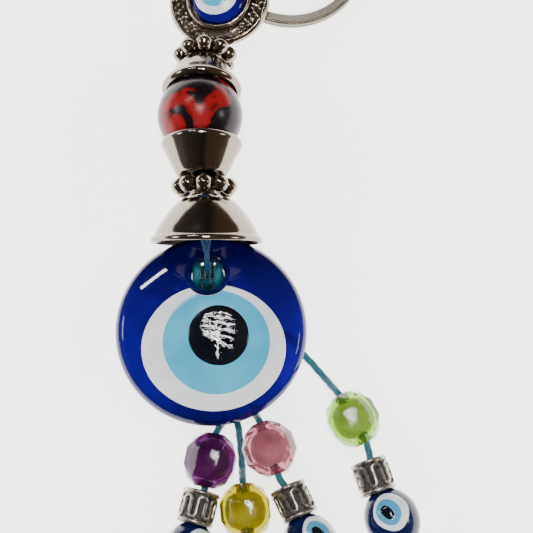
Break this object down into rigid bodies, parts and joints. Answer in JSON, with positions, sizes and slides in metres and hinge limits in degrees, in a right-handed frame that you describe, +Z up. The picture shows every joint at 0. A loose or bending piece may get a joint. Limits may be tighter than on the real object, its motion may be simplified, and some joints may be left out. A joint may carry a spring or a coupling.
{
  "type": "evil eye key ornament",
  "caption": "Hanging charm with a glass eye disc under a rod of beads and caps, a key ring above and beaded tassels below.",
  "frame": {"origin": "on the table, under the middle of the ornament without its cords and knots, lying on its back", "axes": "+Y up the rod towards the key ring, +X to the right seen from the front of the eye, +Z up off the table, out of the front of the eye"},
  "size_m": [0.056, 0.1498, 0.0207],
  "materials": {
    "polished_metal": "polished plated metal",
    "spacer_metal": "polished antique-silver plate",
    "pendant_metal": "polished casting with a nugget-textured band",
    "ring_steel": "dull nickel plate",
    "antique_silver": "antique silver, blackened in the hollows",
    "cobalt_glass": "clear cobalt glass, fire polished",
    "white_glass": "opaque white glass, fused",
    "light_blue_glass": "opaque light blue glass, fused",
    "black_glass": "opaque near-black glass, fused",
    "pendant_glass": "glass cabochon with a fused eye",
    "red_marbled": "glossy red with black marbling",
    "blue_cord": "several plied blue threads",
    "teal_cord": "waxed teal thread",
    "violet_acrylic": "clear violet faceted acrylic",
    "yellow_acrylic": "clear yellow faceted acrylic",
    "pink_acrylic": "clear pink faceted acrylic",
    "green_acrylic": "clear lime green faceted acrylic",
    "milky_core": "milky inner bead",
    "painted_navy": "glossy navy with painted eyes"
  },
  "bodies": {
    "glass_eye": {"glass_disc": "cobalt_glass", "eye_white": "white_glass", "eye_light_blue": "light_blue_glass", "eye_pupil": "black_glass", "tassel_fold_left": "teal_cord", "tassel_fold_right": "teal_cord", "yellow_cord": "teal_cord"},
    "rod": {"stringing_cord": "blue_cord", "hanging_loop": "blue_cord", "rod_knot": "blue_cord"},
    "bell": {"bell_cap": "polished_metal"},
    "low_spacer": {"lower_spacer": "spacer_metal"},
    "cone": {"cone_cap": "polished_metal"},
    "red": {"red_bead": "red_marbled"},
    "cap": {"upper_cap": "polished_metal"},
    "high_spacer": {"upper_spacer": "spacer_metal"},
    "pendant": {"pendant_frame": "pendant_metal", "pendant_eye": "pendant_glass"},
    "link": {"jump_ring": "ring_steel"},
    "key_ring": {"split_ring": "ring_steel"},
    "violet_strand": {"violet_cord": "teal_cord"},
    "violet_bead": {"violet_bead_shell": "violet_acrylic", "violet_bead_core": "milky_core"},
    "violet_tip": {"violet_tip_cord": "teal_cord", "violet_end_knot": "teal_cord"},
    "violet_tube": {"violet_tube_bead": "antique_silver"},
    "violet_eye": {"violet_eye_bead": "painted_navy"},
    "yellow_bead": {"yellow_bead_shell": "yellow_acrylic", "yellow_bead_core": "milky_core"},
    "yellow_tip": {"yellow_tip_cord": "teal_cord", "yellow_end_knot": "teal_cord"},
    "yellow_tube": {"yellow_tube_bead": "antique_silver"},
    "yellow_eye": {"yellow_eye_bead": "painted_navy"},
    "pink_strand": {"pink_cord": "teal_cord"},
    "pink_bead": {"pink_bead_shell": "pink_acrylic", "pink_bead_core": "milky_core"},
    "pink_tip": {"pink_tip_cord": "teal_cord", "pink_end_knot": "teal_cord"},
    "pink_tube": {"pink_tube_bead": "antique_silver"},
    "pink_eye": {"pink_eye_bead": "painted_navy"},
    "green_strand": {"green_cord": "teal_cord"},
    "green_bead": {"green_bead_shell": "green_acrylic", "green_bead_core": "milky_core"},
    "green_tip": {"green_tip_cord": "teal_cord", "green_end_knot": "teal_cord"},
    "green_tube": {"green_tube_bead": "antique_silver"},
    "green_eye": {"green_eye_bead": "painted_navy"}
  },
  "joints": [
    {"name": "rod_swing", "type": "hinge", "parent": "glass_eye", "child": "rod", "pos_m": [-0.01017, -0.01746, 0.0052], "axis": [0, 0, 1], "range_deg": [-3.5, 3.5]},
    {"name": "bell_spin", "type": "hinge", "parent": "rod", "child": "bell", "pos_m": [-0.01097, -0.00196, 0.0104], "axis": [0, 0.9863, 0.165], "continuous": true},
    {"name": "low_spacer_spin", "type": "hinge", "parent": "rod", "child": "low_spacer", "pos_m": [-0.01137, 0.00844, 0.0113], "axis": [0, 0.9986, 0.0523], "continuous": true},
    {"name": "cone_spin", "type": "hinge", "parent": "rod", "child": "cone", "pos_m": [-0.01196, 0.01704, 0.0106], "axis": [0, 0.9976, -0.0698], "continuous": true},
    {"name": "red_spin", "type": "hinge", "parent": "rod", "child": "red", "pos_m": [-0.01236, 0.02264, 0.0099], "axis": [0, 0.9781, -0.2079], "continuous": true},
    {"name": "cap_spin", "type": "hinge", "parent": "rod", "child": "cap", "pos_m": [-0.01217, 0.02804, 0.00845], "axis": [0, 0.9613, -0.2756], "continuous": true},
    {"name": "high_spacer_spin", "type": "hinge", "parent": "rod", "child": "high_spacer", "pos_m": [-0.01167, 0.03564, 0.00625], "axis": [0, 0.9511, -0.309], "continuous": true},
    {"name": "pendant_lift", "type": "hinge", "parent": "rod", "child": "pendant", "pos_m": [-0.00907, 0.03714, 0.007], "axis": [1, 0, 0], "range_deg": [0, 8]},
    {"name": "link_swing", "type": "hinge", "parent": "pendant", "child": "link", "pos_m": [-0.00897, 0.05774, 0.0058], "axis": [1, 0, 0], "range_deg": [0, 90]},
    {"name": "key_ring_turn", "type": "hinge", "parent": "link", "child": "key_ring", "pos_m": [0.00483, 0.05854, 0.0018], "axis": [0.0454, 0, 0.999], "continuous": true},
    {"name": "violet_swing", "type": "hinge", "parent": "glass_eye", "child": "violet_strand", "pos_m": [-0.01086, -0.00676, 0.00078], "axis": [0, 0, 1], "range_deg": [-45, 0]},
    {"name": "violet_bead_spin", "type": "hinge", "parent": "violet_strand", "child": "violet_bead", "pos_m": [-0.01017, -0.04156, 0.0051], "axis": [-0.1908, -0.9816, 0], "continuous": true},
    {"name": "violet_lift", "type": "hinge", "parent": "violet_strand", "child": "violet_tip", "pos_m": [-0.0112, -0.04686, 0.0051], "axis": [-0.9816, 0.1908, 0], "range_deg": [0, 20]},
    {"name": "violet_tube_spin", "type": "hinge", "parent": "violet_tip", "child": "violet_tube", "pos_m": [-0.01229, -0.0501, 0.0051], "axis": [-0.2419, -0.9703, 0], "continuous": true},
    {"name": "violet_eye_spin", "type": "hinge", "parent": "violet_tip", "child": "violet_eye", "pos_m": [-0.0139, -0.05834, 0.0051], "axis": [-0.1908, -0.9816, 0], "continuous": true},
    {"name": "yellow_bead_spin", "type": "hinge", "parent": "glass_eye", "child": "yellow_bead", "pos_m": [-0.00366, -0.05066, 0.0051], "axis": [0.1045, -0.9945, 0], "continuous": true},
    {"name": "yellow_lift", "type": "hinge", "parent": "glass_eye", "child": "yellow_tip", "pos_m": [-0.0031, -0.05603, 0.0051], "axis": [-0.9945, -0.1045, 0], "range_deg": [0, 20]},
    {"name": "yellow_tube_spin", "type": "hinge", "parent": "yellow_tip", "child": "yellow_tube", "pos_m": [-0.00275, -0.05941, 0.0051], "axis": [0.1045, -0.9945, 0], "continuous": true},
    {"name": "yellow_eye_spin", "type": "hinge", "parent": "yellow_tip", "child": "yellow_eye", "pos_m": [-0.00201, -0.06778, 0.0051], "axis": [0.0872, -0.9962, 0], "continuous": true},
    {"name": "pink_swing", "type": "hinge", "parent": "glass_eye", "child": "pink_strand", "pos_m": [-0.01086, -0.00676, 0.00078], "axis": [0, 0, 1], "range_deg": [0, 5]},
    {"name": "pink_bead_spin", "type": "hinge", "parent": "pink_strand", "child": "pink_bead", "pos_m": [0.00064, -0.03936, 0.0051], "axis": [0.3256, -0.9455, 0], "continuous": true},
    {"name": "pink_lift", "type": "hinge", "parent": "pink_strand", "child": "pink_tip", "pos_m": [0.00239, -0.04447, 0.0051], "axis": [-0.9455, -0.3256, 0], "range_deg": [0, 50]},
    {"name": "pink_tube_spin", "type": "hinge", "parent": "pink_tip", "child": "pink_tube", "pos_m": [0.00511, -0.04897, 0.0051], "axis": [0.4226, -0.9063, 0], "continuous": true},
    {"name": "pink_eye_spin", "type": "hinge", "parent": "pink_tip", "child": "pink_eye", "pos_m": [0.00826, -0.05675, 0.0051], "axis": [0.3746, -0.9272, 0], "continuous": true},
    {"name": "green_swing", "type": "hinge", "parent": "glass_eye", "child": "green_strand", "pos_m": [-0.01086, -0.00676, 0.00078], "axis": [0, 0, 1], "range_deg": [0, 45]},
    {"name": "green_bead_spin", "type": "hinge", "parent": "green_strand", "child": "green_bead", "pos_m": [0.01604, -0.03396, 0.0051], "axis": [0.4695, -0.8829, 0], "continuous": true},
    {"name": "green_lift", "type": "hinge", "parent": "green_strand", "child": "green_tip", "pos_m": [0.01857, -0.03873, 0.0051], "axis": [-0.8829, -0.4695, 0], "range_deg": [0, 50]},
    {"name": "green_tube_spin", "type": "hinge", "parent": "green_tip", "child": "green_tube", "pos_m": [0.01965, -0.04446, 0.0051], "axis": [0.3256, -0.9455, 0], "continuous": true},
    {"name": "green_eye_spin", "type": "hinge", "parent": "green_tip", "child": "green_eye", "pos_m": [0.02293, -0.05219, 0.0051], "axis": [0.3907, -0.9205, 0], "continuous": true}
  ]
}
